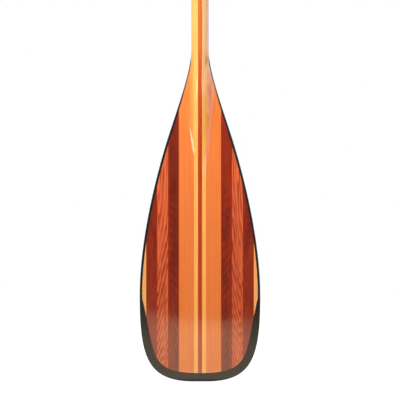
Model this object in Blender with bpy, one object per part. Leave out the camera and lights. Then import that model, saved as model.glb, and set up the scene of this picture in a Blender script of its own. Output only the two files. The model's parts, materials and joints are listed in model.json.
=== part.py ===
# Laminated wooden canoe paddle, standing on its tip with the grip up.
# The origin is the middle of the blade's tip. +Z runs up the shaft to the grip, +X to the right
# and -Y to the front. All lengths are metres and all heights are measured up from the tip.
#
# The paddle is glued up flat from long straight boards: five thin laminations that run from the
# blade's tip to the grip's crown, then wider boards on each side that give the blade and the grip
# their width. The outer two laminations are spruce on the shaft, with a scarf to a cedar strip
# where the spine runs out into the blade. The glued blank is sawn to its outline and planed to
# one fair surface, so every board here is a slice between glue lines of the same outline and the
# same thickness rule.
# A cast resin guard runs round the blade's edge and widens across its tip.

from math import cos, hypot, pi, radians, sin, sqrt

import bmesh
import bpy
import numpy as np

# Whole paddle. The laminations together are wider than the shaft that is planed from them.
OVERALL_LENGTH = 1.372
SHAFT_WIDTH = 0.030
SHAFT_DEPTH = 0.033
SHAFT_PLANING = 0.005

# Boards glued on beside the laminations, and the glue between all of them
BOARD_WIDTH = 0.01905
GLUE_LINE = 0.0003
CORNER_MERGE = 0.0006
NARROWEST_SLIVER = 0.0015
SLIVER_POINT = 0.0006

# Blade outline. A pull or rounding share sets how far a curve's handle reaches along its stretch.
BLADE_LENGTH = 0.577
BLADE_WIDTH = 0.210
WIDEST_HEIGHT = 0.150
TIP_FLAT = 0.021
TIP_ROUNDING_SHARE = 0.863
CORNER_ROUNDING_SHARE = 0.72
FLARE_HEIGHT = 0.418
FLARE_WIDTH = 0.1156
FLARE_SLANT = radians(17.2)
BELLY_PULL_SHARE = 0.374
FLARE_LOWER_PULL_SHARE = 0.209
FLARE_UPPER_PULL_SHARE = 0.307
THROAT_PULL_SHARE = 0.238

# Blade thickness
BLADE_THICKNESS = 0.009
RIM_THICKNESS = 0.0046
FLAT_SHARE = 0.25
TIP_TAPER_HEIGHT = 0.128

# Spine, where the round shaft runs out into the flat blade, measured down from the throat
SPINE_LENGTH = 0.287
SPINE_BLEND = 0.110
SPINE_FOOT_WIDTH = 0.048
SPINE_END_WIDTH = 0.012
SPINE_START_SOFTNESS = 1.5
SPINE_END_SOFTNESS = 2.5
SHAFT_ROUNDNESS = 0.5
SPINE_ROUNDNESS = 2.0

# Scarf in the outer laminations: it starts at this height and rises towards the blade's edge
SCARF_HEIGHT = 0.400
SCARF_LENGTH = 0.052

# Guard round the blade's edge
EDGE_GUARD_WIDTH = 0.004
EDGE_GUARD_START_WIDTH = 0.001
EDGE_GUARD_START_DROP = 0.028
EDGE_GUARD_RUN_IN = 0.008
EDGE_GUARD_TAPER = 0.146
TIP_GUARD_HEIGHT = 0.138
TIP_GUARD_DEPTH = 0.0132
TIP_GUARD_PULL_SHARE = 0.92
TIP_GUARD_CORNER_ACROSS_SHARE = 0.758
TIP_GUARD_CORNER_UP_SHARE = 0.24
GUARD_EDGE_FLAT = 0.0022
GUARD_EDGE_RADIUS = 0.0014
GUARD_RADIUS_SHARE = 0.7

# Palm grip, measured down from the crown
GRIP_LENGTH = 0.125
GRIP_WIDTH = 0.086
GRIP_DEPTH = 0.032
GRIP_WAIST_DEPTH = 0.027
GRIP_WAIST_DROP = 0.078
GRIP_SHOULDER_DROP = 0.030
GRIP_NECK_PULL_SHARE = 0.42
GRIP_SHOULDER_PULL_SHARE = 0.28
GRIP_CROWN_RISE_SHARE = 0.65
GRIP_CROWN_PULL_SHARE = 0.50

# Mesh density
CURVE_SAMPLES = 600
SIDE_SAMPLES = 2400
BLADE_ROWS = 26
SCARFED_ROWS = 7
THROAT_ROWS = 3
SHAFT_ROWS = 5
NECK_ROWS = 3
GRIP_ROWS = 12
GUARD_EDGE_STEPS = 3
ROW_GATHERING_SHARE = 0.5
SMOOTH_ANGLE = radians(35)

# Colours, as red, green and blue shares of light, and the varnish's roughness
RED_CEDAR = (0.52, 0.075, 0.020)
YELLOW_SPRUCE = (1.0, 0.42, 0.10)
ORANGE_CEDAR = (0.83, 0.21, 0.044)
DARK_WALNUT = (0.20, 0.023, 0.010)
FLAME_REDWOOD = (0.56, 0.085, 0.030)
PALE_PINE = (0.86, 0.38, 0.11)
GUARD_BLACK = (0.012, 0.010, 0.008)
VARNISH_ROUGHNESS = 0.12
GUARD_ROUGHNESS = 0.30

# Each kind of board as its name, its colour and the columns across its face, from the middle
# outwards. The last board of the blade and of the grip is sawn through by the outline.
CENTRE_LAMINATION = ("shaft_centre_lam", RED_CEDAR, 2)
INNER_LAMINATION = ("shaft_inner_lam", YELLOW_SPRUCE, 2)
OUTER_LAMINATION = ("shaft_outer_lam", YELLOW_SPRUCE, 5)
CORE_STRIP = ("blade_core_strip", ORANGE_CEDAR, 5)
BLADE_BOARDS = (
    ("blade_cedar_strip", ORANGE_CEDAR, 4),
    ("blade_inner_walnut_strip", DARK_WALNUT, 4),
    ("blade_redwood_strip", FLAME_REDWOOD, 5),
    ("blade_outer_walnut_strip", DARK_WALNUT, 8),
    ("blade_pine_sliver", PALE_PINE, 2),
)
GRIP_BOARDS = (
    ("grip_inner_cheek", ORANGE_CEDAR, 4),
    ("grip_outer_cheek", DARK_WALNUT, 4),
)
SIDES = (("left", -1), ("right", 1))

LAMINATION_COUNT = 5
LAMINATION_WIDTH = (SHAFT_WIDTH + SHAFT_PLANING) / LAMINATION_COUNT
BOARD_START = LAMINATION_WIDTH * LAMINATION_COUNT / 2


# Rules of shape


def ease(value):
    """Rise smoothly from 0 to 1 as the value goes from 0 to 1."""
    value = min(max(value, 0.0), 1.0)
    return value * value * (3.0 - 2.0 * value)


def blend(start, end, share):
    return start + (end - start) * share


def bezier(start, start_handle, end_handle, end):
    """Points along one cubic curve in the plane of (half width, height)."""
    share = np.linspace(0.0, 1.0, CURVE_SAMPLES)[:, None]
    rest = 1.0 - share
    return (
        rest**3 * np.array(start)
        + 3 * rest**2 * share * np.array(start_handle)
        + 3 * rest * share**2 * np.array(end_handle)
        + share**3 * np.array(end)
    )


def blade_outline():
    """The blade's right edge, from the end of the tip's flat up to the throat."""
    half = BLADE_WIDTH / 2
    corner_share = 1.0 - CORNER_ROUNDING_SHARE
    tip = bezier(
        (TIP_FLAT / 2, 0.0),
        (blend(TIP_FLAT / 2, half, TIP_ROUNDING_SHARE), 0.0),
        (half, WIDEST_HEIGHT * corner_share),
        (half, WIDEST_HEIGHT),
    )
    below = FLARE_HEIGHT - WIDEST_HEIGHT
    above = BLADE_LENGTH - FLARE_HEIGHT
    slant = (sin(FLARE_SLANT), cos(FLARE_SLANT))
    reach_below = FLARE_LOWER_PULL_SHARE * below
    reach_above = FLARE_UPPER_PULL_SHARE * above
    middle = (FLARE_WIDTH / 2, FLARE_HEIGHT)
    belly = bezier(
        (half, WIDEST_HEIGHT),
        (half, WIDEST_HEIGHT + BELLY_PULL_SHARE * below),
        (middle[0] + slant[0] * reach_below, middle[1] - slant[1] * reach_below),
        middle,
    )
    throat = bezier(
        middle,
        (middle[0] - slant[0] * reach_above, middle[1] + slant[1] * reach_above),
        (SHAFT_WIDTH / 2, BLADE_LENGTH - THROAT_PULL_SHARE * above),
        (SHAFT_WIDTH / 2, BLADE_LENGTH),
    )
    return tip, np.vstack((belly, throat[1:]))


def grip_outline():
    """The grip's right edge: its neck, then its crown."""
    half = GRIP_WIDTH / 2
    base = OVERALL_LENGTH - GRIP_LENGTH
    shoulder = OVERALL_LENGTH - GRIP_SHOULDER_DROP
    neck = bezier(
        (SHAFT_WIDTH / 2, base),
        (SHAFT_WIDTH / 2, base + GRIP_NECK_PULL_SHARE * GRIP_LENGTH),
        (half, shoulder - GRIP_SHOULDER_PULL_SHARE * GRIP_LENGTH),
        (half, shoulder),
    )
    crown = bezier(
        (half, shoulder),
        (half, shoulder + GRIP_CROWN_RISE_SHARE * GRIP_SHOULDER_DROP),
        (half * GRIP_CROWN_PULL_SHARE, OVERALL_LENGTH),
        (0.0, OVERALL_LENGTH),
    )
    return neck, crown


TIP_EDGE, FLARE_EDGE = blade_outline()
NECK_EDGE, CROWN_EDGE = grip_outline()
OUTLINE = np.vstack((TIP_EDGE, FLARE_EDGE[1:], NECK_EDGE, CROWN_EDGE[1:]))


def outline_half(height):
    """Half the paddle's width at a height, guard included."""
    return float(np.interp(height, OUTLINE[:, 1], OUTLINE[:, 0]))


def guard_band(height):
    """Width of the guard on the blade's side, which thins out towards the throat."""
    drop = BLADE_LENGTH - height
    run_in = ease((drop - EDGE_GUARD_START_DROP + EDGE_GUARD_RUN_IN) / EDGE_GUARD_RUN_IN)
    growth = ease((drop - EDGE_GUARD_START_DROP) / EDGE_GUARD_TAPER)
    return run_in * blend(EDGE_GUARD_START_WIDTH, EDGE_GUARD_WIDTH, growth)


def wood_outline():
    """The wood's right edge inside the guard: across the tip, then up the side to the throat."""
    corner = outline_half(TIP_GUARD_HEIGHT) - EDGE_GUARD_WIDTH
    rise = TIP_GUARD_HEIGHT - TIP_GUARD_DEPTH
    tip = bezier(
        (0.0, TIP_GUARD_DEPTH),
        (corner * TIP_GUARD_PULL_SHARE, TIP_GUARD_DEPTH),
        (corner * TIP_GUARD_CORNER_ACROSS_SHARE, TIP_GUARD_DEPTH + rise * TIP_GUARD_CORNER_UP_SHARE),
        (corner, TIP_GUARD_HEIGHT),
    )
    heights = np.linspace(TIP_GUARD_HEIGHT, BLADE_LENGTH, SIDE_SAMPLES)
    side = np.array([(outline_half(z) - guard_band(z), z) for z in heights])
    return tip, side


WOOD_TIP, WOOD_SIDE = wood_outline()
WOOD = np.vstack((WOOD_TIP, WOOD_SIDE[1:], NECK_EDGE, CROWN_EDGE[1:]))
WIDEST_ROW = int(np.argmax(WOOD_SIDE[:, 0]))
WOOD_WIDEST = float(WOOD_SIDE[WIDEST_ROW, 0])


def wood_half(height):
    """Half the wood's width at a height, without the guard."""
    return float(np.interp(height, WOOD[:, 1], WOOD[:, 0]))


def height_on(edge, across):
    """Height at which a falling or rising edge lies this far from the middle."""
    order = edge if edge[0, 0] < edge[-1, 0] else edge[::-1]
    return float(np.interp(abs(across), order[:, 0], order[:, 1]))


def tip_height(across):
    return height_on(WOOD_TIP, across)


def flare_height(across):
    return height_on(WOOD_SIDE[WIDEST_ROW:], across)


def neck_height(across):
    return height_on(NECK_EDGE, across)


def crown_height(across):
    return height_on(CROWN_EDGE, across)


def scarf_height(across, side):
    """Height of the scarf's upper face, side 1, or lower face, side -1, half a glue line apart."""
    slope = SCARF_LENGTH / LAMINATION_WIDTH
    rise = slope * (abs(across) - BOARD_START + LAMINATION_WIDTH)
    return SCARF_HEIGHT + rise + side * hypot(slope, 1.0) * GLUE_LINE / 2


def above_scarf(across):
    return scarf_height(across, 1)


def below_scarf(across):
    return scarf_height(across, -1)


def plate_half(across, height):
    """Half the thickness of the plain blade: flat in the middle, thin at the sides and tip."""
    side = min(abs(across) / max(wood_half(height), SLIVER_POINT), 1.0)
    lens = 1.0 - (max(side - FLAT_SHARE, 0.0) / (1.0 - FLAT_SHARE)) ** 2
    below = max(TIP_TAPER_HEIGHT - height, 0.0) / (TIP_TAPER_HEIGHT - TIP_GUARD_DEPTH)
    tip = 1.0 - min(below, 1.0) ** 2
    throat = ease((BLADE_LENGTH - height) / SPINE_BLEND)
    rim = RIM_THICKNESS / 2
    return rim + (BLADE_THICKNESS / 2 - rim) * lens * tip * throat


def spine_rise(across, height):
    """How far the spine stands proud of the plain blade as the shaft runs out into it."""
    drop = BLADE_LENGTH - height
    if drop >= SPINE_LENGTH:
        return 0.0
    full = SHAFT_DEPTH / 2 - RIM_THICKNESS / 2
    full *= (1.0 - (drop / SPINE_LENGTH) ** SPINE_START_SOFTNESS) ** SPINE_END_SOFTNESS
    share = ease(drop / SPINE_BLEND)
    run = max(drop - SPINE_BLEND, 0.0) / (SPINE_LENGTH - SPINE_BLEND)
    foot = min(blend(SPINE_FOOT_WIDTH, SPINE_END_WIDTH, run) / 2, wood_half(height))
    foot = blend(wood_half(height), foot, share)
    side = min(abs(across) / foot, 1.0)
    return full * (1.0 - side * side) ** blend(SHAFT_ROUNDNESS, SPINE_ROUNDNESS, share)


def grip_half_depth(height):
    """Half the depth on the middle line from the shaft up to the crown."""
    drop = OVERALL_LENGTH - height
    if drop < GRIP_SHOULDER_DROP:
        dome = sqrt(max(1.0 - (1.0 - drop / GRIP_SHOULDER_DROP) ** 2, 0.0))
        return blend(RIM_THICKNESS / 2, GRIP_DEPTH / 2, dome)
    if drop < GRIP_WAIST_DROP:
        rise = ease((GRIP_WAIST_DROP - drop) / (GRIP_WAIST_DROP - GRIP_SHOULDER_DROP))
        return blend(GRIP_WAIST_DEPTH / 2, GRIP_DEPTH / 2, rise)
    fall = ease((GRIP_LENGTH - drop) / (GRIP_LENGTH - GRIP_WAIST_DROP))
    return blend(SHAFT_DEPTH / 2, GRIP_WAIST_DEPTH / 2, fall)


def oval_half(across, height):
    """Half the thickness of the oval shaft and grip above the throat."""
    half = outline_half(height)
    side = min(abs(across) / half, 1.0) if half > 0.0 else 1.0
    rim = RIM_THICKNESS / 2
    return rim + (grip_half_depth(height) - rim) * (1.0 - side * side) ** SHAFT_ROUNDNESS


def half_thickness(across, height):
    if height > BLADE_LENGTH:
        return oval_half(across, height)
    return plate_half(across, height) + spine_rise(across, height)


# Rows and columns of each board's face


def row_shares(count):
    """Shares from 0 to 1 that lie somewhat closer together at both ends."""
    steps = [row / count for row in range(count + 1)]
    return [blend(step, (1.0 - cos(pi * step)) / 2, ROW_GATHERING_SHARE) for step in steps]


def closing_shares(count):
    """Shares from 0 to 1 that lie close together at the end only."""
    return [sin(pi / 2 * row / count) for row in range(count + 1)]


def lamination_face(inner, outer, shares, foot=tip_height, blade_rows=BLADE_ROWS):
    """A board from its foot on the blade to the grip's crown, trimmed where the shaft is narrower.

    Rows that start at the tip meet those of the boards beside it on the blade and on the grip.
    """
    blade_joint, grip_joint = flare_height(BOARD_START), neck_height(BOARD_START)
    base = OVERALL_LENGTH - GRIP_LENGTH
    across = [blend(inner, outer, share) for share in shares]
    face = [
        [(x, blend(foot(x), blade_joint, share)) for x in across]
        for share in row_shares(blade_rows)
    ]
    stops = ((BLADE_LENGTH, THROAT_ROWS), (base, SHAFT_ROWS), (grip_joint, NECK_ROWS))
    start = blade_joint
    for stop, rows in stops:
        heights = [blend(start, stop, (row + 1) / rows) for row in range(rows)]
        face += [[(x, height) for x in across] for height in heights]
        start = stop
    face += [
        [(x, blend(grip_joint, crown_height(x), share)) for x in across]
        for share in closing_shares(GRIP_ROWS)[1:]
    ]
    shoulder = OVERALL_LENGTH - GRIP_SHOULDER_DROP
    for row in face:
        for column, (x, height) in enumerate(row):
            if blade_joint < height < shoulder and outer > wood_half(height):
                row[column] = (blend(inner, wood_half(height), shares[column]), height)
    return face


def closed_board_face(inner, outer, columns, lower, upper, shares):
    """A board between two glue lines, cut off above and below by the outline."""
    across = [blend(inner, outer, column / columns) for column in range(columns + 1)]
    return [[(x, blend(lower(x), upper(x), share)) for x in across] for share in shares]


def open_board_face(inner, columns, lower, upper, shares):
    """The outermost board, whose outer side is the sawn outline itself."""
    start = lower(inner + SLIVER_POINT)
    end = upper(inner + SLIVER_POINT)
    across = [column / columns for column in range(columns + 1)]
    face = []
    for share in shares:
        height = blend(start, end, share)
        reach = wood_half(height)
        face.append([(blend(inner, reach, column), height) for column in across])
    return face


def board_faces(boards, widest, lower, upper, shares):
    """Boards side by side from the laminations outwards, as far as the outline reaches."""
    faces = []
    inner = BOARD_START
    for name, colour, columns in boards:
        if inner + NARROWEST_SLIVER > widest:
            break
        outer = inner + BOARD_WIDTH
        start, end = inner + GLUE_LINE / 2, outer - GLUE_LINE / 2
        if name == boards[-1][0] or outer + NARROWEST_SLIVER > widest:
            faces.append((name, colour, open_board_face(start, columns, lower, upper, shares)))
            break
        faces.append((name, colour, closed_board_face(start, end, columns, lower, upper, shares)))
        inner = outer
    return faces


# The guard


def wood_boundary(strips, outer_lamination, boards):
    """The wood's edge as the boards' own corners, from the middle of the tip to the throat."""
    faces = strips + boards
    corners = [point for face in faces for point in face[0] if point[0] >= 0.0]
    corners += [row[-1] for row in boards[-1]]
    corners += [point for face in reversed(boards) for point in reversed(face[-1])]
    top = corners[-1][1]
    corners += [row[-1] for row in outer_lamination if top < row[-1][1] <= BLADE_LENGTH]
    points = [corners[0]]
    for x, z in corners:
        if hypot(x - points[-1][0], z - points[-1][1]) > CORNER_MERGE:
            points.append((x, z))
    return np.array(points)


def split_at(points, height):
    """The parts of a rising edge below and above a height, half a glue line short of it."""
    parts = []
    for side in (-1, 1):
        stop = height + side * GLUE_LINE / 2
        end = (float(np.interp(stop, points[:, 1], points[:, 0])), stop)
        part = [tuple(p) for p in points if side * (p[1] - height) > CORNER_MERGE]
        parts.append(np.array([*part, end] if side < 0 else [end, *part]))
    return parts


def guard_face(wood_edge):
    """Rows across the guard, each square to the paddle's outline, from the wood to the edge."""
    run = np.gradient(wood_edge, axis=0)
    outward = np.column_stack((run[:, 1], -run[:, 0]))
    outward /= np.linalg.norm(outward, axis=1)[:, None]
    flat = [(x, 0.0) for x in np.linspace(0.0, TIP_FLAT / 2, CURVE_SAMPLES)]
    outline = np.vstack((flat, OUTLINE[1:]))
    face = []
    for point, normal in zip(wood_edge, outward):
        inner = point + normal * GLUE_LINE
        outer = outline[np.argmin(np.hypot(*(outline - point).T))]
        width = float(np.hypot(*(outer - inner)))
        radius = min(GUARD_EDGE_RADIUS, GUARD_RADIUS_SHARE * width)
        row = [(*inner, RIM_THICKNESS / 2)]
        for step in range(GUARD_EDGE_STEPS + 1):
            turn = pi / 2 * step / GUARD_EDGE_STEPS
            across = 1.0 - radius * (1.0 - sin(turn)) / width
            half = blend(GUARD_EDGE_FLAT / 2, RIM_THICKNESS / 2, cos(turn))
            row.append((*blend(inner, outer, across), half))
        face.append(row)
    return face


# Solids


def finish(name, colour, roughness):
    """A varnished or moulded surface of one colour."""
    material = bpy.data.materials.new(name)
    material.use_nodes = True
    shader = material.node_tree.nodes["Principled BSDF"]
    shader.inputs["Base Color"].default_value = (*colour, 1.0)
    shader.inputs["Roughness"].default_value = roughness
    shader.inputs["Metallic"].default_value = 0.0
    material.diffuse_color = (*colour, 1.0)
    return material


def skin(name, face, material, parent):
    """Close a face and its mirror image behind the middle plane into one solid board."""
    across = [point[0] for row in face for point in row]
    origin = (min(across) + max(across)) / 2
    shape = bmesh.new()
    for facing in (-1, 1):
        sheet = [
            [shape.verts.new((x - origin, facing * half, z)) for x, z, half in row] for row in face
        ]
        for row, above in zip(sheet, sheet[1:]):
            for i in range(len(row) - 1):
                shape.faces.new((row[i], row[i + 1], above[i + 1], above[i]))
    rim = [edge for edge in shape.edges if edge.is_boundary]
    bmesh.ops.bridge_loops(shape, edges=rim)
    bmesh.ops.recalc_face_normals(shape, faces=shape.faces)
    mesh = bpy.data.meshes.new(name)
    shape.to_mesh(mesh)
    shape.free()
    mesh.shade_smooth()
    mesh.set_sharp_from_angle(angle=SMOOTH_ANGLE)
    mesh.materials.append(material)
    board = bpy.data.objects.new(name, mesh)
    board.location = (origin, 0.0, 0.0)
    board.parent = parent
    bpy.context.scene.collection.objects.link(board)
    return board


def planed(face):
    """Give each point of a board's face the paddle's half thickness there."""
    return [[(x, z, half_thickness(x, z)) for x, z in row] for row in face]


def mirrored(face):
    return [[(-x, z, half) for x, z, half in row] for row in face]


def skin_pair(name, face, colour, roughness, parent):
    """The same piece on the paddle's left and right."""
    for side_name, side in SIDES:
        node = f"{name}_{side_name}"
        skin(node, face if side > 0 else mirrored(face), finish(node, colour, roughness), parent)


def lamination_edges(number):
    """Inner and outer side of the lamination so many places from the middle one."""
    inner = LAMINATION_WIDTH * (number - 0.5)
    return inner + GLUE_LINE / 2, inner + LAMINATION_WIDTH - GLUE_LINE / 2


def build_laminations(parent):
    """The laminations. Gives back those that end at the tip, and the outer one of the shaft."""
    name, colour, columns = CENTRE_LAMINATION
    reach = (LAMINATION_WIDTH - GLUE_LINE) / 2
    shares = [column / columns for column in range(columns + 1)]
    centre = lamination_face(-reach, reach, shares)
    skin(name, planed(centre), finish(name, colour, VARNISH_ROUGHNESS), parent)

    name, colour, columns = INNER_LAMINATION
    inner = lamination_face(*lamination_edges(1), closing_shares(columns))
    skin_pair(name, planed(inner), colour, VARNISH_ROUGHNESS, parent)

    name, colour, columns = OUTER_LAMINATION
    shares = closing_shares(columns)
    outer = lamination_face(*lamination_edges(2), shares, above_scarf, SCARFED_ROWS)
    skin_pair(name, planed(outer), colour, VARNISH_ROUGHNESS, parent)

    name, colour, columns = CORE_STRIP
    start, end = lamination_edges(2)
    shares = row_shares(BLADE_ROWS - SCARFED_ROWS)
    core = closed_board_face(start, end, columns, tip_height, below_scarf, shares)
    skin_pair(name, planed(core), colour, VARNISH_ROUGHNESS, parent)
    return [centre, inner, core], outer


def build_boards(boards, parent):
    for name, colour, face in boards:
        skin_pair(name, planed(face), colour, VARNISH_ROUGHNESS, parent)
    return [face for _, _, face in boards]


def build_guard(boundary, parent):
    """The cast guard: one piece across the tip and one up each side of the blade."""
    tip, side = split_at(boundary, TIP_GUARD_HEIGHT)
    edge, _ = split_at(side, BLADE_LENGTH - EDGE_GUARD_START_DROP)
    skin_pair("edge_guard", guard_face(edge), GUARD_BLACK, GUARD_ROUGHNESS, parent)
    right = guard_face(tip)
    left = mirrored(right[:0:-1])
    skin("tip_guard", left + right, finish("tip_guard", GUARD_BLACK, GUARD_ROUGHNESS), parent)


def build_paddle():
    """Glue up the laminations, the blade's boards, the grip's cheeks and the guard."""
    paddle = bpy.data.objects.new("paddle", None)
    bpy.context.scene.collection.objects.link(paddle)
    strips, outer_lamination = build_laminations(paddle)
    blade_shares, grip_shares = row_shares(BLADE_ROWS), closing_shares(GRIP_ROWS)
    blade = board_faces(BLADE_BOARDS, WOOD_WIDEST, tip_height, flare_height, blade_shares)
    grip = board_faces(GRIP_BOARDS, GRIP_WIDTH / 2, neck_height, crown_height, grip_shares)
    blade_faces = build_boards(blade, paddle)
    build_boards(grip, paddle)
    build_guard(wood_boundary(strips, outer_lamination, blade_faces), paddle)


def clear_scene():
    for item in list(bpy.data.objects):
        bpy.data.objects.remove(item, do_unlink=True)


clear_scene()
build_paddle()
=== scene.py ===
# Looks of the laminated canoe paddle: its boards planed to one fair surface under clear varnish,
# and the cast black guard round its blade. Lengths are metres, with +Z up the shaft, +X to the
# right and the blade's front face towards -Y.

import json
from math import pi, radians

import bpy
import numpy as np
from mathutils import Matrix, Vector

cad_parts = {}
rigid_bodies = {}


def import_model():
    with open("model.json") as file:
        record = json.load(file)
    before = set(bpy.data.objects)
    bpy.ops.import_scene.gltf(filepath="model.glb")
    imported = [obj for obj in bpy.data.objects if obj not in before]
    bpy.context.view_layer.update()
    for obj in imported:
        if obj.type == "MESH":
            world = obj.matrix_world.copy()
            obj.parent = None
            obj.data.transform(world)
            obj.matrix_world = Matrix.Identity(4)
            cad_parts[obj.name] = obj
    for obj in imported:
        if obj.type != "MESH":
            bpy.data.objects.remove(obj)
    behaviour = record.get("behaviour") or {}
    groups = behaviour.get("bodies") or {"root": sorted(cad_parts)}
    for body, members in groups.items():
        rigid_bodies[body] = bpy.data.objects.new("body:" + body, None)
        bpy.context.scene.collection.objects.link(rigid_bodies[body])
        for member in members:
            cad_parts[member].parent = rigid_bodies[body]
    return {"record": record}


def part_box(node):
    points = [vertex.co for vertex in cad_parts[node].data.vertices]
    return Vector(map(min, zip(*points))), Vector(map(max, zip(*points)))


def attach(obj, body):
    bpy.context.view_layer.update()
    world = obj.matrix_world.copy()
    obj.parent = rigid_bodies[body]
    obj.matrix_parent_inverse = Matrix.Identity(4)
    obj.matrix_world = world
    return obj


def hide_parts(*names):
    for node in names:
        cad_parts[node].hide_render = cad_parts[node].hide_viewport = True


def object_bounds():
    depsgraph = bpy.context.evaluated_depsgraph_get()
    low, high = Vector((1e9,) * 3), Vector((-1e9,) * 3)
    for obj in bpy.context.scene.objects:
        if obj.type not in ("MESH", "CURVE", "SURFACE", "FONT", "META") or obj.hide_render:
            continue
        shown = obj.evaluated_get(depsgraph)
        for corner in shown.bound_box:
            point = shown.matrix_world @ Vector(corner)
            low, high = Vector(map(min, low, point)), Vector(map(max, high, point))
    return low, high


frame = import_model()
cad_low, cad_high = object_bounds()
SLOTS = {part["node"]: part["material_slot"] for part in frame["record"]["subparts"]}

# Camera: the photograph's frame is this tall where the paddle stands
FRAME_HEIGHT = 0.6968
FRAME_MIDDLE = 0.3160
CAMERA_DISTANCE = 8.0
SENSOR_WIDTH = 36.0
CLIP_RANGE = (0.1, 100.0)

# The paddle's own sizes, from the frame
OVERALL_LENGTH = cad_high.z
BLADE_WIDTH = cad_high.x - cad_low.x
SHAFT_DEPTH = cad_high.y - cad_low.y
GUARD_OVERLAP = 0.00012

# Blade outline, as the solids have it
SHAFT_WIDTH = 0.030
BLADE_LENGTH = 0.577
WIDEST_HEIGHT = 0.150
TIP_FLAT = 0.021
TIP_ROUNDING_SHARE = 0.863
CORNER_ROUNDING_SHARE = 0.72
FLARE_HEIGHT = 0.418
FLARE_WIDTH = 0.1156
FLARE_SLANT = radians(17.2)
BELLY_PULL_SHARE = 0.374
FLARE_LOWER_PULL_SHARE = 0.209
FLARE_UPPER_PULL_SHARE = 0.307
THROAT_PULL_SHARE = 0.238

# Blade thickness
BLADE_THICKNESS = 0.009
RIM_THICKNESS = 0.0046
FLAT_SHARE = 0.25
TIP_TAPER_HEIGHT = 0.128

# Spine, measured down from the throat
SPINE_LENGTH = 0.287
SPINE_BLEND = 0.110
SPINE_FOOT_WIDTH = 0.048
SPINE_END_WIDTH = 0.012
SPINE_START_SOFTNESS = 1.5
SPINE_END_SOFTNESS = 2.5
SHAFT_ROUNDNESS = 0.5
SPINE_ROUNDNESS = 2.0

# Scarf in the outer laminations, which rises towards the blade's edge
SCARF_HEIGHT = 0.400
SCARF_LENGTH = 0.052

# Guard round the blade's edge. Its inner line lies up to 2 mm from the solids'.
EDGE_GUARD_WIDTH = 0.0043
EDGE_GUARD_START_WIDTH = 0.0016
EDGE_GUARD_START_DROP = 0.028
EDGE_GUARD_RUN_IN = 0.020
EDGE_GUARD_TAPER = 0.125
TIP_GUARD_HEIGHT = 0.145
TIP_GUARD_DEPTH = 0.0146
TIP_GUARD_PULL_SHARE = 0.92
TIP_GUARD_CORNER_ACROSS_SHARE = 0.758
TIP_GUARD_CORNER_UP_SHARE = 0.24
TIP_GUARD_CORNER_EASING = 0.030
GUARD_EDGE_FLAT = 0.0022
GUARD_EDGE_RADIUS = 0.0014
GUARD_RADIUS_SHARE = 0.7

# Palm grip, measured down from the crown
GRIP_LENGTH = 0.125
GRIP_WIDTH = 0.086
GRIP_DEPTH = 0.032
GRIP_WAIST_DEPTH = 0.027
GRIP_WAIST_DROP = 0.078
GRIP_SHOULDER_DROP = 0.030
GRIP_NECK_PULL_SHARE = 0.42
GRIP_SHOULDER_PULL_SHARE = 0.28
GRIP_CROWN_RISE_SHARE = 0.65
GRIP_CROWN_PULL_SHARE = 0.50

# Mesh density
CURVE_SAMPLES = 3000
SIDE_SAMPLES = 6000
FLAT_SAMPLES = 300
BLADE_ROWS = 190
THROAT_ROWS = 12
SHAFT_ROWS = 24
NECK_ROWS = 16
GRIP_ROWS = 56
GUARD_STEP = 0.0018
GUARD_EDGE_STEPS = 8
GUARD_FACE_STEPS = 4
MERGE_DISTANCE = 0.000005
SMOOTH_ANGLE = radians(35)

# Boards from the middle outwards, with the columns across each
CENTRE_LAMINATION = ("shaft_centre_lam", 6)
LAMINATIONS = (("shaft_inner_lam", 6), ("shaft_outer_lam", 14))
BLADE_BOARDS = (
    ("blade_cedar_strip", 14),
    ("blade_inner_walnut_strip", 10),
    ("blade_redwood_strip", 10),
    ("blade_outer_walnut_strip", 22),
    ("blade_pine_sliver", 6),
)
GRIP_BOARDS = (("grip_inner_cheek", 10), ("grip_outer_cheek", 10))
SIDES = (("left", -1), ("right", 1))


# Rules of shape, on arrays of half widths and heights


def ease(value):
    """Rise smoothly from 0 to 1 as the value goes from 0 to 1."""
    value = np.clip(value, 0.0, 1.0)
    return value * value * (3.0 - 2.0 * value)


def blend(start, end, share):
    return start + (end - start) * share


def bezier(start, start_handle, end_handle, end):
    """Points along one cubic curve in the plane of (half width, height)."""
    share = np.linspace(0.0, 1.0, CURVE_SAMPLES)[:, None]
    rest = 1.0 - share
    return (
        rest**3 * np.array(start)
        + 3 * rest**2 * share * np.array(start_handle)
        + 3 * rest * share**2 * np.array(end_handle)
        + share**3 * np.array(end)
    )


def blade_outline():
    """The blade's right edge, from the end of the tip's flat up to the throat."""
    half = BLADE_WIDTH / 2
    corner_share = 1.0 - CORNER_ROUNDING_SHARE
    tip = bezier(
        (TIP_FLAT / 2, 0.0),
        (blend(TIP_FLAT / 2, half, TIP_ROUNDING_SHARE), 0.0),
        (half, WIDEST_HEIGHT * corner_share),
        (half, WIDEST_HEIGHT),
    )
    below = FLARE_HEIGHT - WIDEST_HEIGHT
    above = BLADE_LENGTH - FLARE_HEIGHT
    slant = np.array((np.sin(FLARE_SLANT), -np.cos(FLARE_SLANT)))
    middle = np.array((FLARE_WIDTH / 2, FLARE_HEIGHT))
    belly = bezier(
        (half, WIDEST_HEIGHT),
        (half, WIDEST_HEIGHT + BELLY_PULL_SHARE * below),
        middle + slant * FLARE_LOWER_PULL_SHARE * below,
        middle,
    )
    throat = bezier(
        middle,
        middle - slant * FLARE_UPPER_PULL_SHARE * above,
        (SHAFT_WIDTH / 2, BLADE_LENGTH - THROAT_PULL_SHARE * above),
        (SHAFT_WIDTH / 2, BLADE_LENGTH),
    )
    return tip, np.vstack((belly, throat[1:]))


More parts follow.
